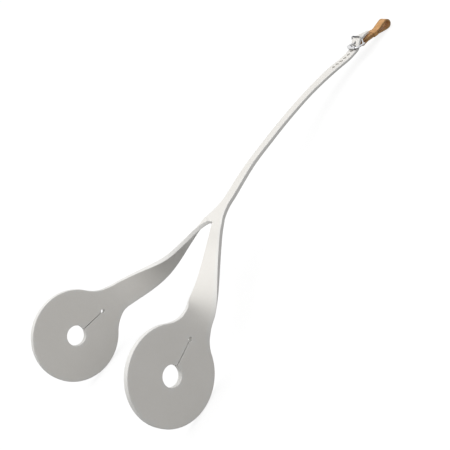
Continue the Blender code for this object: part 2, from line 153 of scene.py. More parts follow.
def makeMottle():
    # broad tone changes over a surface, from handling and uneven curing
    group, given, made = newGroup(
        "mottle",
        [("Light", "NodeSocketColor", (0.8, 0.8, 0.8, 1)), ("Dark", "NodeSocketColor", (0.7, 0.7, 0.7, 1)),
         ("Scale", "NodeSocketFloat", 40.0), ("Fine Scale", "NodeSocketFloat", 300.0)],
        [("Color", "NodeSocketColor"), ("Mask", "NodeSocketFloat")])
    place = group.nodes.new("ShaderNodeTexCoord").outputs["Object"]
    broad = noiseNode(group, place, given.outputs["Scale"], 3.0)
    fine = noiseNode(group, place, given.outputs["Fine Scale"], 2.0)
    most = mathNode(group, "MULTIPLY", broad, 0.65)
    both = mathNode(group, "ADD", most, mathNode(group, "MULTIPLY", fine, 0.35))
    spread = group.nodes.new("ShaderNodeMapRange")
    spread.inputs["From Min"].default_value = 0.36
    spread.inputs["From Max"].default_value = 0.64
    group.links.new(both, spread.inputs["Value"])
    mix = group.nodes.new("ShaderNodeMix")
    mix.data_type = "RGBA"
    group.links.new(spread.outputs["Result"], mix.inputs["Factor"])
    group.links.new(given.outputs["Light"], mix.inputs["A"])
    group.links.new(given.outputs["Dark"], mix.inputs["B"])
    group.links.new(mix.outputs["Result"], made.inputs["Color"])
    group.links.new(spread.outputs["Result"], made.inputs["Mask"])
    return group


def makeGrain():
    # fine relief, cells for leather and a soft orange peel for rubber and plate
    group, given, made = newGroup(
        "grain",
        [("Scale", "NodeSocketFloat", 800.0), ("Cells", "NodeSocketFloat", 0.0)],
        [("Height", "NodeSocketFloat"), ("Mask", "NodeSocketFloat")])
    place = group.nodes.new("ShaderNodeTexCoord").outputs["Object"]
    cells = group.nodes.new("ShaderNodeTexVoronoi")
    cells.feature = "DISTANCE_TO_EDGE"
    group.links.new(place, cells.inputs["Vector"])
    group.links.new(given.outputs["Scale"], cells.inputs["Scale"])
    crease = mathNode(group, "MINIMUM", mathNode(group, "MULTIPLY", cells.outputs["Distance"], 5.0), 1.0)
    peel = noiseNode(group, place, given.outputs["Scale"], 4.0)
    mix = group.nodes.new("ShaderNodeMix")
    mix.data_type = "FLOAT"
    group.links.new(given.outputs["Cells"], mix.inputs["Factor"])
    group.links.new(peel, mix.inputs["A"])
    group.links.new(crease, mix.inputs["B"])
    group.links.new(mix.outputs["Result"], made.inputs["Height"])
    group.links.new(crease, made.inputs["Mask"])
    return group


def makeRim():
    # tone at cut edges, from the mask that each mesh carries; on the buckle plate the mask lays painted shade
    # instead, darker below
    group, given, made = newGroup(
        "rim",
        [("Surface", "NodeSocketColor", (0.8, 0.8, 0.8, 1)), ("Edge", "NodeSocketColor", (0.6, 0.6, 0.6, 1)),
         ("Amount", "NodeSocketFloat", 0.5)],
        [("Color", "NodeSocketColor"), ("Mask", "NodeSocketFloat")])
    mask = group.nodes.new("ShaderNodeAttribute")
    mask.attribute_name = "edgeAndShadeMask"
    share = mathNode(group, "MULTIPLY", mask.outputs["Fac"], given.outputs["Amount"])
    mix = group.nodes.new("ShaderNodeMix")
    mix.data_type = "RGBA"
    group.links.new(share, mix.inputs["Factor"])
    group.links.new(given.outputs["Surface"], mix.inputs["A"])
    group.links.new(given.outputs["Edge"], mix.inputs["B"])
    group.links.new(mix.outputs["Result"], made.inputs["Color"])
    group.links.new(mask.outputs["Fac"], made.inputs["Mask"])
    return group


mottle = makeMottle()
grain = makeGrain()
rim = makeRim()


def finishOf(name, look):
    finish = bpy.data.materials.new(name)
    finish.use_nodes = True
    tree = finish.node_tree
    shader = tree.nodes["Principled BSDF"]
    tone = tree.nodes.new("ShaderNodeGroup")
    tone.node_tree = mottle
    tone.inputs["Light"].default_value = (*look["light"], 1)
    tone.inputs["Dark"].default_value = (*look["dark"], 1)
    tone.inputs["Scale"].default_value = look["mottleScale"]
    tone.inputs["Fine Scale"].default_value = look["mottleFine"]
    edge = tree.nodes.new("ShaderNodeGroup")
    edge.node_tree = rim
    edge.inputs["Edge"].default_value = (*look["edgeAndShadeTone"], 1)
    edge.inputs["Amount"].default_value = look["edgeAndShadeAmount"]
    tree.links.new(tone.outputs["Color"], edge.inputs["Surface"])
    tree.links.new(edge.outputs["Color"], shader.inputs["Base Color"])
    rough = tree.nodes.new("ShaderNodeMapRange")
    rough.inputs["To Min"].default_value = look["rough"][0]
    rough.inputs["To Max"].default_value = look["rough"][1]
    tree.links.new(tone.outputs["Mask"], rough.inputs["Value"])
    tree.links.new(rough.outputs["Result"], shader.inputs["Roughness"])
    relief = tree.nodes.new("ShaderNodeGroup")
    relief.node_tree = grain
    relief.inputs["Scale"].default_value = look["grainScale"]
    relief.inputs["Cells"].default_value = look["cells"]
    bump = tree.nodes.new("ShaderNodeBump")
    bump.inputs["Strength"].default_value = look["bump"]
    bump.inputs["Distance"].default_value = look["bumpDepth"]
    tree.links.new(relief.outputs["Height"], bump.inputs["Height"])
    tree.links.new(bump.outputs["Normal"], shader.inputs["Normal"])
    for label, value in look.get("plain", {}).items():
        shader.inputs[label].default_value = value
    return finish


rubberFinish = finishOf("softWhiteRubber", {
    "light": (0.888, 0.866, 0.825), "dark": (0.866, 0.843, 0.798), "mottleScale": 35.0, "mottleFine": 420.0,
    "edgeAndShadeTone": (0.88, 0.88, 0.86), "edgeAndShadeAmount": 0.6, "rough": (0.46, 0.58),
    "grainScale": 1500.0, "cells": 0.0, "bump": 0.04, "bumpDepth": 0.0002,
    "plain": {"Specular IOR Level": 0.35},
})
leatherFinish = finishOf("tanBridleLeather", {
    "light": (0.72, 0.39, 0.15), "dark": (0.56, 0.29, 0.10), "mottleScale": 160.0, "mottleFine": 900.0,
    "edgeAndShadeTone": (0.24, 0.13, 0.05), "edgeAndShadeAmount": 0.5, "rough": (0.42, 0.62),
    "grainScale": 1900.0, "cells": 0.75, "bump": 0.22, "bumpDepth": 0.0003,
    "plain": {"Specular IOR Level": 0.4},
})
chromeFinish = finishOf("brightPlate", {
    "light": (0.83, 0.83, 0.84), "dark": (0.66, 0.66, 0.67), "mottleScale": 300.0, "mottleFine": 2500.0,
    # the plate's edge tone is painted shade, laid darker below and along thin wires by its mask
    "edgeAndShadeTone": (0.06, 0.06, 0.065), "edgeAndShadeAmount": 0.95, "rough": (0.08, 0.2),
    "grainScale": 900.0, "cells": 0.0, "bump": 0.03, "bumpDepth": 0.0002,
    "plain": {"Metallic": 1.0},
})
threadFinish = finishOf("waxedThread", {
    "light": (0.72, 0.55, 0.33), "dark": (0.55, 0.40, 0.22), "mottleScale": 700.0, "mottleFine": 4000.0,
    "edgeAndShadeTone": (0.3, 0.2, 0.1), "edgeAndShadeAmount": 0.0, "rough": (0.55, 0.7),
    "grainScale": 4500.0, "cells": 0.4, "bump": 0.4, "bumpDepth": 0.0002,
})
print("finishes made")


# mesh making

def meshPiece(name, points, faces, finish, edgeAndShadeMask=None):
    mesh = bpy.data.meshes.new(name)
    mesh.from_pydata([tuple(p) for p in np.asarray(points) + drawingShift], [], [tuple(f) for f in faces])
    if edgeAndShadeMask is not None:
        mask = mesh.attributes.new("edgeAndShadeMask", "FLOAT", "POINT")
        mask.data.foreach_set("value", np.array(edgeAndShadeMask, np.float32))
    shell = bmesh.new()
    shell.from_mesh(mesh)
    bmesh.ops.remove_doubles(shell, verts=shell.verts, dist=weldGap)
    bmesh.ops.recalc_face_normals(shell, faces=shell.faces)
    shell.to_mesh(mesh)
    shell.free()
    mesh.shade_smooth()
    mesh.set_sharp_from_angle(angle=creaseAngle)
    piece = bpy.data.objects.new(name, mesh)
    bpy.context.scene.collection.objects.link(piece)
    mesh.materials.append(finish)
    return piece


def evenNormals(piece):
    step = piece.modifiers.new("evenNormals", "WEIGHTED_NORMAL")
    step.keep_sharp = True
    return piece


def gridFaces(rows, width, closed=False, wrap=False):
    faces = []
    for i in range(rows if wrap else rows - 1):
        for k in range(width if closed else width - 1):
            a = i * width
            b = ((i + 1) % rows) * width
            faces.append((a + k, a + (k + 1) % width, b + (k + 1) % width, b + k))
    return faces


def cutter(name, outline, origin, xAxis, yAxis, low, high):
    depth = np.cross(xAxis, yAxis)
    size = len(outline)
    points = [origin + x * xAxis + y * yAxis + d * depth for d in (low, high) for x, y in outline]
    faces = [range(size), range(size, 2 * size)]
    faces += [(k, (k + 1) % size, (k + 1) % size + size, k + size) for k in range(size)]
    return meshPiece(name, points, faces, rubberFinish)


def carve(piece, tools, operation="DIFFERENCE"):
    for tool in tools:
        step = piece.modifiers.new(tool.name, "BOOLEAN")
        step.operation = operation
        step.solver = "EXACT"
        step.object = tool
    shown = piece.evaluated_get(bpy.context.evaluated_depsgraph_get())
    done = bpy.data.meshes.new_from_object(shown)
    piece.modifiers.clear()
    piece.data = done
    for tool in tools:
        bpy.data.objects.remove(tool, do_unlink=True)
    done.shade_smooth()
    done.set_sharp_from_angle(angle=creaseAngle)
    return piece


def circleOutline(radius, sides):
    turns = [360 * (k + 0.5) / sides for k in range(sides)]
    return [(radius * cosD(t), radius * sinD(t)) for t in turns]


def wire(path, radii, flatNormal, sides, closed=False):
    # points and faces of a round wire that lies in a plane
    path = [np.asarray(p, float) for p in path]
    turns = np.arange(sides) * 360 / sides
    rings = []
    for i, p in enumerate(path):
        before = path[i - 1] if closed or i > 0 else p
        after = path[(i + 1) % len(path)] if closed or i < len(path) - 1 else p
        side = np.cross(unitOf(after - before), flatNormal)
        rings += [p + radii[i] * (cosD(t) * side + sinD(t) * flatNormal) for t in turns]
    faces = gridFaces(len(path), sides, closed=True, wrap=closed)
    if not closed:
        faces += [range(sides), range((len(path) - 1) * sides, len(path) * sides)]
    return rings, faces


def paintedPlateShade(points, path, base):
    # painted shade on the plate: coloured darker below, and all round a thin wire by its base share as a
    # painted dark reflection
    perPoint = len(points) // len(path)
    middles = np.repeat(np.asarray(path), perPoint, axis=0)
    ways = np.asarray(points) - middles
    down = -ways[:, 2] / np.maximum(np.linalg.norm(ways, axis=1), 1e-9)
    level, rate = buckle["underPaintedShade"]
    return np.clip(np.maximum(base, level + rate * down), 0.0, 1.0)


# the buckle's own plan: a runs along it from the heel bar, h is up
buckle = {
    "heel": np.array((-0.0674, 0.4554, 0.0130)), "yaw": 4.0, "length": 0.0125, "rise": 0.0036, "play": 0.0007,
    # painted shade: these shares colour the plate darker below and all round each wire, the hoop nearly all
    # dark as a painted dark reflection
    "corner": 0.0025, "cornerSteps": 9, "wire": 0.0012, "wireSides": 24, "wirePaintedShade": 0.15,
    "hoopWire": 0.0008, "hoopFoot": 0.003, "hoopSteps": 10, "hoopSides": 18, "hoopPaintedShade": 0.93,
    "roller": 0.0021, "rollerLip": 0.0002, "rollerSeam": 4.0, "rollerSteps": 40, "rollerPaintedShade": (0.35, 1.5),
    "tongue": 0.0009, "tonguePlay": 0.0006, "tongueSides": 20, "tonguePaintedShade": 0.3, "tunnelSides": 32,
    "tongueWrap": 190.0, "wrapSteps": 30, "wrapEnd": [0.35, 0.8], "shank": (0.1, 0.86), "shankSteps": 8,
    # how far along the prong, and how much of its thickness is left there
    "prongTip": [(0.91, 0.97), (0.945, 0.92), (0.965, 0.84), (0.98, 0.70), (0.992, 0.45), (1.0, 0.12)],
    "strapLead": 0.010, "entrySteps": 6, "crestSteps": 9, "underPaintedShade": (0.5, 1.4),
}
strap = {
    "width": 0.013, "thick": 0.004, "endThick": 0.003, "edge": 0.0007, "edgeSteps": 3, "columns": 5,
    "rowStep": 0.0025, "tipWidth": 0.0045, "tipTaper": 0.016, "tipPower": 1.6, "tipDrift": 0.0022,
    "driftPower": 1.5, "holeRadius": 0.002, "holePitch": 0.0065, "holeCount": 7, "holeSides": 40,
    "crotch": np.array((-0.0033, 0.154, 0.056)), "reach": 0.3014,
    # x, share of the reach, height and bank
    "stations": [(-0.0223, 0.2488, 0.0515, -10.0), (-0.0389, 0.3799, 0.0424, -8.0),
                 (-0.0533, 0.5275, 0.0338, -7.0), (-0.0635, 0.6835, 0.0258, -5.0),
                 (-0.0690, 0.8394, 0.0172, 4.0)],
}
leather = {
    "width": 0.0105, "thick": 0.0022, "edge": 0.0005, "loopEnd": 0.046, "loopRise": 0.007, "step": 0.0009,
    "joint": 0.0001, "seat": 0.00002, "foldOpen": 62.0, "foldSteps": 12, "endSteps": 10, "columns": 8,
    "edgeSteps": 3,
    # places along the strip, and how far each stands off from lying flat on the other layer
    "overRun": [(0.0150, 0.0), (0.0100, 0.0), (0.0070, 0.00005), (0.0046, 0.00048)],
    "underRun": [(0.0046, 0.00048), (0.0070, 0.00005), (0.0100, 0.0), (0.0160, 0.0), (0.0225, 0.0),
                 (0.0262, 0.0004), (0.0310, 0.00088), (0.0355, 0.00138)],
    "backRun": [(0.0370, 0.00388), (0.0320, 0.00218), (0.0280, 0.00068), (0.0250, 0.0001), (0.0228, 0.0)],
}
keeper = {
    "place": 0.0205, "length": 0.006, "thick": 0.0006, "gapBefore": 0.0009, "corner": 0.0008,
    "cornerSteps": 6, "columns": 6, "edge": 0.00022, "hug": 0.00006,
}

buckleAlong = np.array((sinD(buckle["yaw"]), cosD(buckle["yaw"]), 0.0))
buckleAcross = np.cross(buckleAlong, upward)
foldRadius = buckle["wire"] + gap + leather["thick"]
endHalf = strap["endThick"] / 2
overHeel = foldRadius + gap + slack + endHalf
underRoller = buckle["roller"] + gap + slack + endHalf
loopReach = leather["loopEnd"] - foldRadius
leatherDip = math.degrees(math.asin(buckle["heel"][2] / math.hypot(loopReach, foldRadius))
                          - math.atan2(foldRadius, loopReach))
leatherAlong = cosD(leatherDip) * buckleAlong - sinD(leatherDip) * upward
leatherUp = sinD(leatherDip) * buckleAlong + cosD(leatherDip) * upward
frameHalf = strap["width"] / 2 + buckle["play"] + buckle["wire"]
barGap = math.hypot(buckle["length"], buckle["rise"])
frameSlope = math.degrees(math.atan2(buckle["rise"], buckle["length"]))


def bucklePoint(a, h, r=0.0):
    return buckle["heel"] + a * buckleAlong + h * upward + r * buckleAcross


def leatherPoint(a, h, r=0.0):
    return buckle["heel"] + a * leatherAlong + h * leatherUp + r * buckleAcross


# rubber: the strap, its fork and both cheeks are one moulding, split only where a bend can carry the join

yoke = {
    "yaw": -5.8, "bank": -5.4, "length": 0.030, "flare": 1.85, "arch": 0.0039, "archDrop": 0.0014, "rows": 13,
    "firstRow": 0.0022, "slant": 0.6, "forkRows": 12, "forkRise": 0.0075, "lift": 0.0020, "liftFade": 0.026,
}
arm = {
    "rootWidth": 0.0128, "rootOffset": 0.0093, "splay": 30.0, "rows": 72, "twistRows": 6, "taperPower": 0.8,
    "bendFrom": -0.003, "bendTo": 0.014,
}

yokeAlong = np.array((sinD(yoke["yaw"]), cosD(yoke["yaw"]), 0.0))
levelAcross = unitOf(np.cross(yokeAlong, upward))
yokeNormal = cosD(yoke["bank"]) * upward + sinD(yoke["bank"]) * levelAcross
yokeAcross = cosD(yoke["bank"]) * levelAcross - sinD(yoke["bank"]) * upward


def yokePoint(x, y):
    return strap["crotch"] + x * yokeAcross + y * yokeAlong


def edgeWall(spot, inward, normal, half, edge):
    # from the top, down one rounded edge, to the underside
    turns = np.linspace(90, 0, strap["edgeSteps"] + 1)
    ways = [(edge * (1 - cosD(t)) * inward, (half - edge + edge * sinD(t)) * normal) for t in turns]
    return [spot + inset + rise for inset, rise in ways] + [spot + inset - rise for inset, rise in ways[::-1]]


def halfChain(outer, inward, innerStart, normal, half):
    # from the middle of the underside, round the outer edge, to the middle of the top
    edge = strap["edge"]
    start = outer + edge * inward
    shares = np.linspace(0, 1, strap["columns"] + 1)[:-1]
    flat = [(1 - s) * innerStart + s * start for s in shares]
    wall = edgeWall(outer, inward, normal, half, edge)[::-1]
    return [p - half * normal for p in flat] + wall + [p + half * normal for p in flat[::-1]]


chainSize = 2 * strap["columns"] + 2 * (strap["edgeSteps"] + 1)
chainRim = [0.0] * strap["columns"] + [1.0] * (2 * strap["edgeSteps"] + 2) + [0.0] * strap["columns"]


def yokeHalf(y):
    outerX = arm["rootOffset"] + arm["rootWidth"] / 2 * cosD(arm["splay"])
    outerY = arm["rootWidth"] / 2 * sinD(arm["splay"])
    ahead = max(0.0, (yoke["length"] - y) / (yoke["length"] - outerY))
    return strap["width"] / 2 + (outerX - strap["width"] / 2) * ahead**yoke["flare"]


def yokeRow(side, y):
    # one slanted half row of the yoke, y is where it leaves the middle line
    slant = yoke["slant"] * (1 - y / yoke["length"])
    x = strap["width"] / 2
    for turn in range(30):      # settles on the outer edge
        x = yokeHalf(y + slant * x)
    outer = yokePoint(side * x, y + slant * x)
    inward = unitOf(yokePoint(0.0, y) - outer)
    return halfChain(outer, inward, yokePoint(0.0, y), yokeNormal, strap["thick"] / 2)


def liftInner(side, inner, outer, normal, share):
    # the left arm starts to roll over inside the fork, its inner edge rising as it leaves
    if side > 0:
        return inner, normal
    inner = inner + yoke["lift"] * share**2 * (3 - 2 * share) * normal
    way = unitOf(outer - inner)
    return inner, unitOf(normal - (normal @ way) * way)


def forkRow(side, k):
    # half row of one arm's root, from the arch to the outer edge
    share = k / yoke["forkRows"]
    rootInner = np.array((arm["rootOffset"] - arm["rootWidth"] / 2 * cosD(arm["splay"]),
                          -arm["rootWidth"] / 2 * sinD(arm["splay"])))
    fromCentre = rootInner + (0.0, yoke["arch"])
    endTurn = math.degrees(math.atan2(fromCentre[0], fromCentre[1]))
    radius = yoke["arch"] + (np.linalg.norm(fromCentre) - yoke["arch"]) * share
    turn = endTurn * share
    drop = yoke["archDrop"] * (1 - share**2)**2
    inner = yokePoint(side * radius * sinD(turn), radius * cosD(turn) - yoke["arch"] - drop)
    innerInward = side * sinD(turn) * yokeAcross + cosD(turn) * yokeAlong
    rootOuterY = arm["rootWidth"] / 2 * sinD(arm["splay"])
    y = yoke["forkRise"] + (rootOuterY - yoke["forkRise"]) * share
    outer = yokePoint(side * yokeHalf(y), y)
    inner, normal = liftInner(side, inner, outer, yokeNormal, share)
    innerInward = unitOf(innerInward - (innerInward @ normal) * normal)
    outerInward = unitOf(inner - outer)
    half = strap["thick"] / 2
    chain = halfChain(outer, outerInward, inner + strap["edge"] * innerInward, normal, half)
    return chain + edgeWall(inner, innerInward, normal, half, strap["edge"])[1:-1]


def strapEndPath():
    climb = math.degrees(math.asin((overHeel + underRoller) / barGap)) - frameSlope
    tipA = keeper["place"] - keeper["length"] / 2 - keeper["gapBefore"]
    tipH = leather["thick"] + gap + slack + endHalf
    reach = math.hypot(tipA, tipH)
    lie = leatherDip + math.degrees(math.asin(overHeel / reach) - math.atan2(tipH, tipA))
    entry = arcPoints(-buckle["length"], buckle["rise"], underRoller, -90, climb - 90, buckle["entrySteps"])
    crest = arcPoints(0.0, 0.0, overHeel, climb + 90, 90 - lie, buckle["crestSteps"])
    length = math.sqrt(reach**2 - overHeel**2)
    tip = [(crest[-1][0] + length * cosD(lie), crest[-1][1] - length * sinD(lie))]
    lead = [(entry[0][0] - buckle["strapLead"], entry[0][1])]
    return [bucklePoint(a, h) for a, h in lead + entry + crest + tip], climb


def tongueLine():
    hook = buckle["wire"] + gap + buckle["tongue"]
    rest = buckle["roller"] + gap + buckle["tongue"]
    rise = frameSlope + math.degrees(math.asin((rest - hook) / barGap))
    start = (hook * sinD(rise), hook * cosD(rise))
    reach = barGap + buckle["roller"]
    return start, (start[0] - reach * cosD(rise), start[1] + reach * sinD(rise)), rise, hook


def strapRows():
    endPath, climb = strapEndPath()
    back = yokePoint(0.0, yoke["length"])
    route = [np.array((x, strap["crotch"][1] + y * strap["reach"], z)) for x, y, z, turn in strap["stations"]]
    rows = curveThrough([back, *route, *endPath], strap["rowStep"])
    run = runOf(rows)
    along = np.gradient(rows, axis=0)
    spots = [*route, endPath[0]]
    bankRun = [0.0] + [run[int(np.argmin(np.linalg.norm(rows - spot, axis=1)))] for spot in spots]
    bank = np.interp(run, bankRun, [yoke["bank"], *(s[3] for s in strap["stations"]), 0.0])
    half = np.interp(run, [0.0, bankRun[-1]], [strap["thick"], strap["endThick"]]) / 2
    crossing = np.interp(-overHeel * sinD(climb), (rows - buckle["heel"]) @ buckleAlong, run)
    return rows, run, along, bank, half, crossing


def strapFrame(along, bank):
    d = unitOf(along)
    level = unitOf(np.cross(d, upward))
    normal = cosD(bank) * np.cross(level, d) + sinD(bank) * level
    return d, np.cross(d, normal), normal


def strapPunches(rows, run, along, bank, crossing):
    # the row of holes, then the one that the prong goes through
    tools = []
    for k in range(1, strap["holeCount"] + 1):
        at = crossing - k * strap["holePitch"]
        spot = np.array([np.interp(at, run, rows[:, axis]) for axis in range(3)])
        d = [np.interp(at, run, along[:, axis]) for axis in range(3)]
        d, across, normal = strapFrame(d, np.interp(at, run, bank))
        outline = circleOutline(strap["holeRadius"], strap["holeSides"])
        depth = strap["thick"]
        tools.append(cutter(f"punch{k}", outline, spot, d, np.cross(normal, d), -depth, depth))
    start, end = (bucklePoint(*spot) for spot in tongueLine()[:2])
    pierce = unitOf(end - start)
    reach = np.linalg.norm(end - start) / 2
    tunnel = circleOutline(buckle["tongue"] + buckle["tonguePlay"], buckle["tunnelSides"])
    tools.append(cutter("prongHole", tunnel, (start + end) / 2, buckleAcross, np.cross(buckleAcross, pierce),
                        -reach, reach))
    return tools


def buildStrap():
    rows, run, along, bank, half, crossing = strapRows()
    sheets = {1: [], -1: []}
    for p, d, s, b, t in list(zip(rows, along, run, bank, half))[::-1]:
        d, across, normal = strapFrame(d, b)
        left = (run[-1] - s) / strap["tipTaper"]
        wide = strap["width"] / 2
        if left < 1:
            kept = max(0.0, left)**strap["tipPower"]
            wide = (strap["tipWidth"] + (strap["width"] - strap["tipWidth"]) * kept) / 2
            p = p - strap["tipDrift"] * (1 - left)**strap["driftPower"] * across
        for side in sheets:
            outer = p + side * wide * across
            sheets[side].append(halfChain(outer, -side * across, p, normal, t))
    for y in np.linspace(yoke["length"], yoke["firstRow"], yoke["rows"])[1:]:
        for side in sheets:
            sheets[side].append(yokeRow(side, y))
    points, faces, edgeAndShadeMask = [], [], []
    for side in (1, -1):
        root = forkRow(side, 0)
        base = len(points)
        grid = [*sheets[side], root[:chainSize]]
        points += [p for row in grid for p in row]
        edgeAndShadeMask += chainRim * len(grid)
        faces += [[base + k for k in face] for face in gridFaces(len(grid), chainSize)]
        base = len(points)
        points += root
        edgeAndShadeMask += chainRim + [1.0] * (len(root) - chainSize)
        faces.append(range(base, base + len(root)))
    # the tip's end
    base = len(points)
    tip = sheets[1][0] + sheets[-1][0][::-1][1:-1]
    points += tip
    edgeAndShadeMask += [1.0] * len(tip)
    faces.append(range(base, base + len(tip)))
    piece = meshPiece("strapRubber", points, faces, rubberFinish, edgeAndShadeMask)
    carve(piece, strapPunches(rows, run, along, bank, crossing))
    return evenNormals(piece)


disc = {
    "radius": 0.045, "thick": 0.006, "spacing": 0.163, "bitHole": 0.010, "stopHole": 0.0021,
    "stopReach": 0.036, "slit": 0.0009, "holeEdge": 0.0002, "cadEdge": 0.0006,
    "neckReach": 0.050, "neckWidth": 0.0272, "neckFillet": 0.035, "bitSteps": 64, "stopSteps": 20,
    "slitSteps": 12, "neckSteps": 8, "roundSteps": 110, "fill": 0.0042, "fillRows": 14, "fillClear": 0.4,
}
rightCheek = {
    "name": "rightCheekRubber", "node": "right_cheek_arm", "body": "right_cheek", "side": 1,
    "back": 0.0, "roll": 9.5, "lean": 7.9, "toe": -7.5, "leave": 0.026, "arrive": 0.026,
    "bow": (-0.0165, 0.006, -0.011), "turn": (-0.24, 0.18, 0.40), "ease": 1.34, "flatFrom": 0.040,
}
leftCheek = {
    "name": "leftCheekRubber", "node": "left_cheek_arm", "body": "left_cheek", "side": -1,
    "back": -0.002, "roll": -8.2, "lean": -10.0, "toe": 1.1, "leave": 0.060, "arrive": 0.034,
    "bow": (0.008, 0.0067, -0.0055), "turn": (-0.20, -0.42, -0.06), "ease": 0.40, "flatFrom": 0.048,
}


def armRoot(side):
    root = yokePoint(side * arm["rootOffset"], 0.0)
    return root, sinD(arm["splay"]) * side * yokeAcross - cosD(arm["splay"]) * yokeAlong


neckHalf = disc["neckWidth"] / 2
filletStart = math.sqrt((disc["radius"] + disc["neckFillet"])**2 - (neckHalf + disc["neckFillet"])**2)
filletEnd = filletStart * disc["radius"] / (disc["radius"] + disc["neckFillet"])


def cheekFrames(cheek):
    side = cheek["side"]
    lean, toe = cheek["lean"], cheek["toe"]
    outward = unitOf((side * cosD(lean) * cosD(toe), -sinD(toe), sinD(lean)))
    toward = np.array((0.0, cosD(cheek["roll"]), sinD(cheek["roll"])))
    toward = unitOf(toward - (toward @ outward) * outward)
    tilt = math.asin(abs(outward[2]))
    height = disc["radius"] * math.cos(tilt) + (disc["thick"] / 2 - disc["cadEdge"]) * math.sin(tilt)
    centre = np.array((side * disc["spacing"] / 2, cheek["back"], height))
    root, leave = armRoot(side)
    neck = centre + disc["neckReach"] * toward
    t = np.linspace(0.0, 1.0, arm["rows"])[:, None]
    first = root + cheek["leave"] * leave
    second = neck + cheek["arrive"] * toward
    rows = (1 - t)**3 * root + 3 * (1 - t)**2 * t * first + 3 * (1 - t) * t**2 * second + t**3 * neck
    rows = rows + 16 * t**2 * (1 - t)**2 * np.array(cheek["bow"])
    # the last of the twist is taken up in the neck, before the disc lies flat
    spare = (disc["neckReach"] - cheek["flatFrom"]) / arm["twistRows"]
    rows = np.array([*rows, *(neck - k * spare * toward for k in range(1, arm["twistRows"] + 1))])
    along = np.gradient(rows, axis=0)
    along[0] = leave
    along[-1] = -toward
    run = runOf(rows)
    share = (run / run[-1])**cheek["ease"]
    share = share**2 * (3 - 2 * share)
    frames = []
    for p, d, s in zip(rows, along, share):
        d = unitOf(d)
        n = (1 - s) * yokeNormal + s * outward + 4 * s * (1 - s) * np.array(cheek["turn"])
        n = unitOf(n - (n @ d) * d)
        frames.append((p, np.cross(d, n), n))
    return frames, run, centre, toward, outward


def keyhole():
    # bit hole, slit and stop hole as one outline, with the way into the rubber at each point
    halfSlit = disc["slit"] / 2
    bitOpen = math.degrees(math.asin(halfSlit / disc["bitHole"]))
    stopOpen = math.degrees(math.asin(halfSlit / disc["stopHole"]))
    big = arcPoints(0.0, 0.0, disc["bitHole"], bitOpen, 360 - bitOpen, disc["bitSteps"])
    small = arcPoints(disc["stopReach"], 0.0, disc["stopHole"], 180 + stopOpen, 540 - stopOpen,
                      disc["stopSteps"])
    lower = [(x, -halfSlit) for x in np.linspace(big[-1][0], small[0][0], disc["slitSteps"])[1:-1]]
    upper = [(x, halfSlit) for x in np.linspace(small[-1][0], big[0][0], disc["slitSteps"])[1:-1]]
    outline = np.array(big + lower + small + upper)
    ahead = np.roll(outline, -1, axis=0) - np.roll(outline, 1, axis=0)
    inward = np.stack([ahead[:, 1], -ahead[:, 0]], axis=1)
    return outline, inward / np.linalg.norm(inward, axis=1)[:, None]


def insideOf(outline, spots):
    # even-odd test of many spots against one outline
    hit = np.zeros(len(spots), bool)
    for (x1, y1), (x2, y2) in zip(outline, np.roll(outline, -1, axis=0)):
        crosses = (y1 > spots[:, 1]) != (y2 > spots[:, 1])
        with np.errstate(divide="ignore", invalid="ignore"):
            at = (x2 - x1) * (spots[:, 1] - y1) / (y2 - y1) + x1
        hit ^= crosses & (spots[:, 0] < at)
    return hit


def fillFlat(border, holeBorder):
    # even triangles over the disc's flat, between its rim and the keyhole
    step = disc["fill"]
    rowPitch = 0.866 * step
    count = range(-disc["fillRows"], disc["fillRows"] + 1)
    spots = np.array([((k + 0.5 * (i % 2)) * step, i * rowPitch) for i in count for k in count])
    spots = spots[insideOf(border, spots) & ~insideOf(holeBorder, spots)]
    fixed = np.concatenate([border, holeBorder])
    apart = np.linalg.norm(fixed[None] - spots[:, None], axis=2).min(axis=1)
    flat = np.concatenate([fixed, spots[apart >= disc["fillClear"] * step]])
    ties = []
    for start, size in ((0, len(border)), (len(border), len(holeBorder))):
        ties += [(start + k, start + (k + 1) % size) for k in range(size)]
    found = delaunay_2d_cdt([Vector(p) for p in flat], ties, [], 0, 1e-7)
    flat = np.array([tuple(p) for p in found[0]])
    triangles = [t for t in found[2] if len(t) == 3]
    middles = np.array([flat[list(t)].mean(axis=0) for t in triangles])
    keep = insideOf(border, middles) & ~insideOf(holeBorder, middles)
    return flat, [t for t, inside in zip(triangles, keep) if inside]


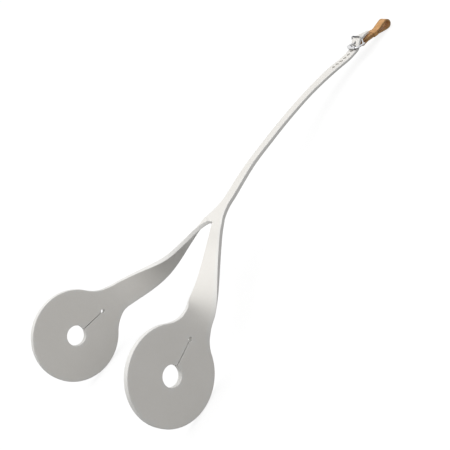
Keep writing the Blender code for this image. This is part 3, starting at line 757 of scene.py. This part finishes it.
def buildCheek(cheek):
    side = cheek["side"]
    frames, run, centre, toward, outward = cheekFrames(cheek)
    rootHalf = arm["rootWidth"] / 2
    flatFrom = cheek["flatFrom"]
    taper = run[-1] - (filletStart - flatFrom)

    def halfWidth(reach):
        if reach < filletEnd:
            return math.sqrt(disc["radius"]**2 - reach**2)
        if reach < filletStart:
            fillet = disc["neckFillet"]
            return neckHalf + fillet - math.sqrt(fillet**2 - (filletStart - reach)**2)
        gone = max(0.0, run[-1] - (reach - flatFrom))
        return rootHalf + (neckHalf - rootHalf) * (gone / taper)**arm["taperPower"]

    rings = [forkRow(side, k) for k in range(yoke["forkRows"])]
    edge = strap["edge"]
    for (p, across, normal), s in zip(frames, run):
        outerWay = -side * across
        half = (strap["thick"] + (disc["thick"] - strap["thick"]) * s / run[-1]) / 2
        wide = halfWidth(flatFrom + run[-1] - s)
        outer = p + wide * outerWay
        liftShare = max(0.0, 1 - s / yoke["liftFade"])
        inner, normal = liftInner(side, p - wide * outerWay, outer, normal, liftShare)
        outerWay = unitOf(outer - inner)
        chain = halfChain(outer, -outerWay, inner + edge * outerWay, normal, half)
        rings.append(chain + edgeWall(inner, outerWay, normal, half, edge)[1:-1])
    size = len(rings[0])
    points = [p for ring in rings for p in ring]
    edgeAndShadeMask = (chainRim + [1.0] * (size - chainSize)) * len(rings)
    faces = gridFaces(len(rings), size, closed=True)
    faces.append(range(size))

    # the disc lies flat: x toward the arm, y along sideWay
    sideWay = -side * frames[-1][1]
    half = disc["thick"] / 2

    def discPoint(x, y, h):
        return centre + x * toward + y * sideWay + h * outward

    neck = [(reach, halfWidth(reach)) for reach in np.linspace(flatFrom, filletEnd, disc["neckSteps"])]
    firstTurn = math.degrees(math.acos(filletEnd / disc["radius"]))
    roundPart = arcPoints(0.0, 0.0, disc["radius"], firstTurn, 360 - firstTurn, disc["roundSteps"])[1:-1]
    outline = np.array(neck + roundPart + [(x, -y) for x, y in neck[::-1]])
    ahead = np.gradient(outline, axis=0)
    inward = np.stack([-ahead[:, 1], ahead[:, 0]], axis=1)
    inward[0] = (0, -1)
    inward[-1] = (0, 1)
    inward /= np.linalg.norm(inward, axis=1)[:, None]

    def walls(outline, inward, edge, closed):
        base = len(points)
        for (x, y), (u, v) in zip(outline, inward):
            points.extend(edgeWall(discPoint(x, y, 0.0), u * toward + v * sideWay, outward, half, edge))
        edgeAndShadeMask.extend([1.0] * (len(points) - base))
        made = gridFaces(len(outline), (len(points) - base) // len(outline), wrap=closed)
        faces.extend([[base + k for k in face] for face in made])

    walls(outline, inward, edge, False)
    hole, holeInward = keyhole()
    walls(hole, holeInward, disc["holeEdge"], True)

    border = outline + edge * inward
    middle = [(flatFrom, y) for y in np.linspace(border[-1][1], border[0][1], strap["columns"] + 1)[1:-1]]
    border = np.array([*border, *middle])
    holeBorder = hole + disc["holeEdge"] * holeInward
    flat, triangles = fillFlat(border, holeBorder)
    for h in (half, -half):
        base = len(points)
        points.extend(discPoint(x, y, h) for x, y in flat)
        edgeAndShadeMask.extend([0.0] * len(flat))
        faces.extend([base + k for k in t] for t in triangles)
    piece = meshPiece(cheek["name"], points, faces, rubberFinish, edgeAndShadeMask)
    evenNormals(piece)
    root, leave = armRoot(side)
    root = root + drawingShift
    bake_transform(piece)
    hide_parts(cheek["node"])
    return piece


strapRubber = buildStrap()
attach(strapRubber, "strap")
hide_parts("centre_strap")
buildCheek(leftCheek)
buildCheek(rightCheek)
print("rubber moulded")


# buckle: bent wire ring with a hoop over the strap, rolled tube on the far bar, hooked prong

def buildRing():
    towardRoller = -cosD(frameSlope) * buckleAlong + sinD(frameSlope) * upward
    corner, steps = buckle["corner"], buckle["cornerSteps"]
    inset = frameHalf - corner
    far = barGap - corner
    bends = [(inset, corner), (inset, far), (-inset, far), (-inset, corner)]
    outline = []
    for n, (x, y) in enumerate(bends):
        outline += arcPoints(x, y, corner, 90 * n - 90, 90 * n, steps)
    path = [buckle["heel"] + x * buckleAcross + y * towardRoller for x, y in outline]
    flatNormal = np.cross(buckleAcross, towardRoller)
    points, faces = wire(path, [buckle["wire"]] * len(path), flatNormal, buckle["wireSides"], True)
    # painted shade on the ring, darker below
    ring = meshPiece("buckleWire", points, faces, chromeFinish, paintedPlateShade(points, path, buckle["wirePaintedShade"]))

    # the hoop stands on both side bars and clears the strap
    foot = buckle["heel"] + buckle["hoopFoot"] * towardRoller
    top = bucklePoint(0.0, overHeel + endHalf + gap + slack + buckle["hoopWire"])
    rise = np.linalg.norm(top - foot)
    leg = (top - foot) / rise
    bend, steps = rise - corner, buckle["hoopSteps"]
    outline = [(frameHalf, 0.0)] + arcPoints(inset, bend, corner, 0, 90, steps)
    outline += arcPoints(-inset, bend, corner, 90, 180, steps) + [(-frameHalf, 0.0)]
    path = [foot + x * buckleAcross + y * leg for x, y in outline]
    flatNormal = np.cross(buckleAcross, leg)
    points, faces = wire(path, [buckle["hoopWire"]] * len(path), flatNormal, buckle["hoopSides"])
    # painted shade on the hoop, dark nearly all round as a painted dark reflection
    hoop = meshPiece("hoop", points, faces, chromeFinish, paintedPlateShade(points, path, buckle["hoopPaintedShade"]))
    carve(ring, [hoop], "UNION")
    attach(ring, "strap")
    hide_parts("buckle_frame")


def buildRoller():
    # rolled from sheet, so it has a seam along it
    halfLength = frameHalf - buckle["corner"] - gap
    centre = bucklePoint(-buckle["length"], buckle["rise"])
    bore, outside, lip = buckle["wire"] + gap, buckle["roller"], buckle["rollerLip"]
    profile = [(bore, -halfLength + lip), (bore + lip, -halfLength), (outside - lip, -halfLength),
               (outside, -halfLength + lip), (outside, halfLength - lip), (outside - lip, halfLength),
               (bore + lip, halfLength), (bore, halfLength - lip)]
    points, edgeAndShadeMask = [], []
    turns = np.linspace(-90 + buckle["rollerSeam"], 270 - buckle["rollerSeam"], buckle["rollerSteps"])
    # painted shade: the roller is coloured darker toward its underside
    level, rate = buckle["rollerPaintedShade"]
    for t in turns:
        spoke = cosD(t) * buckleAlong + sinD(t) * upward
        points += [centre + radius * spoke + r * buckleAcross for radius, r in profile]
        edgeAndShadeMask += [min(1.0, max(0.0, level - rate * sinD(t)))] * len(profile)
    size = len(profile)
    faces = gridFaces(len(turns), size, closed=True) + [range(size), range(len(points) - size, len(points))]
    roller = meshPiece("rollerTube", points, faces, chromeFinish, edgeAndShadeMask)
    evenNormals(roller)
    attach(roller, "roller")
    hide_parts("buckle_roller")


def buildTongue():
    start, end, slope, hook = tongueLine()
    wrap = arcPoints(0.0, 0.0, hook, slope - buckle["tongueWrap"], 90 - slope, buckle["wrapSteps"])
    start, end = np.array(start), np.array(end)
    shank = [(s, 1.0) for s in np.linspace(*buckle["shank"], buckle["shankSteps"])]
    prong = shank + buckle["prongTip"]
    path = [bucklePoint(*p) for p in wrap] + [bucklePoint(*(start + s * (end - start))) for s, share in prong]
    shares = buckle["wrapEnd"] + [1.0] * (len(wrap) - len(buckle["wrapEnd"])) + [share for s, share in prong]
    radii = [buckle["tongue"] * share for share in shares]
    points, faces = wire(path, radii, buckleAcross, buckle["tongueSides"])
    # painted shade on the prong, darker below
    edgeAndShadeMask = paintedPlateShade(points, path, buckle["tonguePaintedShade"])
    tongue = meshPiece("tongueWire", points, faces, chromeFinish, edgeAndShadeMask)
    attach(tongue, "tongue")
    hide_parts("buckle_tongue")


buildRing()
buildRoller()
buildTongue()
print("buckle bent")


# leather: one strip folded round the heel bar and back on itself, its ends meeting under the keeper

def roundedSection(halfWide, halfThick, edge, columns):
    # outline of a strip's cut, with the rim mask
    steps = leather["edgeSteps"]
    corners = [(1, 1), (-1, 1), (-1, -1), (1, -1)]
    outline, mask = [], []
    for n, (x, y) in enumerate(corners):
        outline += arcPoints(x * (halfWide - edge), y * (halfThick - edge), edge, 90 * n, 90 * n + 90, steps)
        mask += [1.0] * (steps + 1)
        if n % 2 == 0:
            for s in np.linspace(0, 1, columns + 1)[1:-1]:
                outline.append(((halfWide - edge) * x * (1 - 2 * s), y * halfThick))
                mask.append(0.0)
    return outline, mask


def buildHeadLoop():
    layer = leather["thick"] / 2
    barCentre = buckle["wire"] + gap + layer
    endRadius = (leather["loopRise"] + foldRadius) / 2
    endH = (leather["loopRise"] - foldRadius) / 2
    endA = leather["loopEnd"] - endRadius
    turnRadius = endRadius - layer
    lie = layer + leather["seat"]
    fold = leather["foldOpen"]
    route = [(keeper["place"] - leather["joint"], lie)] + [(a, lie + off) for a, off in leather["overRun"]]
    route += arcPoints(0.0, 0.0, barCentre, fold, 360 - fold, leather["foldSteps"])
    route += [(a, -lie - off) for a, off in leather["underRun"]]
    route += arcPoints(endA, endH, turnRadius, -90, 90, leather["endSteps"])
    route += [(a, lie + off) for a, off in leather["backRun"]] + [(keeper["place"] + leather["joint"], lie)]
    rows = curveThrough([(a, h, 0.0) for a, h in route], leather["step"])
    along = np.gradient(rows, axis=0)
    outline, mask = roundedSection(leather["width"] / 2, layer, leather["edge"], leather["columns"])
    points = []
    for (a, h), (da, dh) in zip(rows[:, :2], along[:, :2]):
        pace = math.hypot(da, dh)
        na, nh = -dh / pace, da / pace
        points += [leatherPoint(a + y * na, h + y * nh, x) for x, y in outline]
    size = len(outline)
    faces = gridFaces(len(rows), size, closed=True) + [range(size), range(len(points) - size, len(points))]
    piece = meshPiece("headLoopLeather", points, faces, leatherFinish, mask * len(rows))
    reach = foldRadius + gap
    slotHalf = buckle["tongue"] + buckle["tonguePlay"]
    square = [(-reach, -reach), (reach, -reach), (reach, reach), (-reach, reach)]
    carve(piece, [cutter("prongSlot", square, buckle["heel"], leatherAlong, leatherUp, -slotHalf, slotHalf)])
    evenNormals(piece)
    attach(piece, "head_loop")
    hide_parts("head_loop")


def buildKeeper():
    halfWide = leather["width"] / 2 + keeper["hug"] + keeper["thick"] / 2
    halfTall = leather["thick"] + keeper["hug"] + keeper["thick"] / 2
    corner = keeper["corner"]
    path = []
    for n, (x, y) in enumerate([(1, 1), (-1, 1), (-1, -1), (1, -1)]):
        for t in np.linspace(90 * n, 90 * n + 90, keeper["cornerSteps"] + 1):
            way = (cosD(t), sinD(t))
            across = x * (halfWide - corner) + corner * way[0]
            path.append((across, y * (halfTall - corner) + corner * way[1], way))
    halfLength, halfThick = keeper["length"] / 2, keeper["thick"] / 2
    outline, mask = roundedSection(halfLength, halfThick, keeper["edge"], keeper["columns"])
    points = []
    for x, y, way in path:
        points += [leatherPoint(keeper["place"] + u, y + v * way[1], x + v * way[0]) for u, v in outline]
    faces = gridFaces(len(path), len(outline), closed=True, wrap=True)
    piece = meshPiece("keeperLeather", points, faces, leatherFinish, mask * len(path))
    evenNormals(piece)
    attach(piece, "head_loop")
    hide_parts("strap_keeper")


stitching = {
    "start": 0.0082, "end": 0.0245, "pitch": 0.0022, "inset": 0.0016, "length": 0.0017, "radius": 0.00022,
    "thinEnd": 0.35, "crown": 0.00012, "bury": 0.00034, "keeperRoom": 0.0009, "steps": 9, "sides": 8,
}


def buildStitches():
    points, faces = [], []
    spots = np.arange(stitching["start"], stitching["end"], stitching["pitch"])
    side = leather["width"] / 2 - stitching["inset"]
    for face in (1, -1):
        level = face * leather["thick"]
        for r in (side, -side):
            for a in spots:
                if abs(a - keeper["place"]) < keeper["length"] / 2 + stitching["keeperRoom"]:
                    continue
                path, radii = [], []
                for s in np.linspace(-1, 1, stitching["steps"]):
                    lift = face * (stitching["crown"] - stitching["bury"] * s**6)
                    path.append(leatherPoint(a + s * stitching["length"] / 2, level + lift, r))
                    radii.append(stitching["radius"] * (1 - stitching["thinEnd"] * s**8))
                base = len(points)
                ring, made = wire(path, radii, buckleAcross, stitching["sides"])
                points += ring
                faces += [[base + k for k in f] for f in made]
    piece = meshPiece("seamStitches", points, faces, threadFinish)
    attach(piece, "head_loop")


buildHeadLoop()
buildKeeper()
buildStitches()
print("leather folded and sewn")


# floor, light and camera

stageSet = {
    "floorTone": (0.22, 0.22, 0.22), "floorGlow": 0.84, "floorSize": 5.0, "floorDrop": 0.0004,
    "worldUp": 0.66, "worldDown": 0.13, "worldBand": 0.8,
    # name, power, size and place
    "lamps": [("topBox", 10.5, 1.6, (-0.5, 0.1, 1.6)), ("noseBox", 4.5, 1.2, (-0.4, -1.0, 1.5)),
              ("fillBox", 3.6, 1.0, (1.6, -0.2, 1.0))],
}


def seenRays(tree):
    # 1 for the rays that show the white background, 0 for those that light the part
    rays = tree.nodes.new("ShaderNodeLightPath")
    seen = mathNode(tree, "MAXIMUM", rays.outputs["Is Camera Ray"], rays.outputs["Is Glossy Ray"])
    return mathNode(tree, "MAXIMUM", seen, rays.outputs["Is Transmission Ray"])


def buildFloor():
    half, level = stageSet["floorSize"], -stageSet["floorDrop"]
    mesh = bpy.data.meshes.new("floor")
    corners = [(-half, -half, level), (half, -half, level), (half, half, level), (-half, half, level)]
    mesh.from_pydata(corners, [], [(0, 1, 2, 3)])
    floor = bpy.data.objects.new("floor", mesh)
    bpy.context.scene.collection.objects.link(floor)
    paper = bpy.data.materials.new("paleFloor")
    paper.use_nodes = True
    tree = paper.node_tree
    shader = tree.nodes["Principled BSDF"]
    shader.inputs["Base Color"].default_value = (*stageSet["floorTone"], 1)
    shader.inputs["Roughness"].default_value = 0.9
    shader.inputs["Specular IOR Level"].default_value = 0.0
    shader.inputs["Emission Color"].default_value = (1, 1, 1, 1)
    glow = mathNode(tree, "MULTIPLY", seenRays(tree), stageSet["floorGlow"])
    tree.links.new(glow, shader.inputs["Emission Strength"])
    mesh.materials.append(paper)


def buildLight():
    world = bpy.data.worlds.new("studio")
    bpy.context.scene.world = world
    world.use_nodes = True
    tree = world.node_tree
    back = tree.nodes["Background"]
    way = tree.nodes.new("ShaderNodeTexCoord")
    split = tree.nodes.new("ShaderNodeSeparateXYZ")
    tree.links.new(way.outputs["Generated"], split.inputs["Vector"])
    height = tree.nodes.new("ShaderNodeMapRange")
    height.inputs["From Min"].default_value = 0.0
    height.inputs["From Max"].default_value = stageSet["worldBand"]
    height.inputs["To Min"].default_value = stageSet["worldDown"]
    height.inputs["To Max"].default_value = stageSet["worldUp"]
    tree.links.new(split.outputs["Z"], height.inputs["Value"])
    mix = tree.nodes.new("ShaderNodeMix")
    mix.data_type = "FLOAT"
    tree.links.new(seenRays(tree), mix.inputs["Factor"])
    tree.links.new(height.outputs["Result"], mix.inputs["A"])
    mix.inputs["B"].default_value = 1.0
    tree.links.new(mix.outputs["Result"], back.inputs["Strength"])
    back.inputs["Color"].default_value = (1, 1, 1, 1)

    for name, energy, size, place in stageSet["lamps"]:
        lamp = bpy.data.lights.new(name, "AREA")
        lamp.energy = energy
        lamp.size = size
        box = bpy.data.objects.new(name, lamp)
        box.location = place
        box.rotation_euler = (-Vector(place)).to_track_quat("-Z", "Y").to_euler()
        bpy.context.scene.collection.objects.link(box)


photoView = {
    "lens": 84.14, "sensor": 36.0, "clip": 0.01, "place": (0.79785, -0.39699, 0.57947),
    # the picture's right, its up and the way back to the lens
    "axes": ((0.6026, 0.5955, -0.5313), (-0.1406, 0.7346, 0.6638), (0.7855, -0.3253, 0.5264)),
}


def buildCamera():
    lens = bpy.data.cameras.new("photoView")
    lens.sensor_width = photoView["sensor"]
    lens.lens = photoView["lens"]
    lens.clip_start = photoView["clip"]
    camera = bpy.data.objects.new("photoView", lens)
    camera.rotation_mode = "QUATERNION"
    camera.rotation_quaternion = Matrix(photoView["axes"]).transposed().to_quaternion()
    camera.location = photoView["place"]
    bpy.context.scene.collection.objects.link(camera)
    bpy.context.scene.camera = camera


buildFloor()
buildLight()
buildCamera()
bpy.context.scene.view_settings.view_transform = "Standard"
print("stage set")
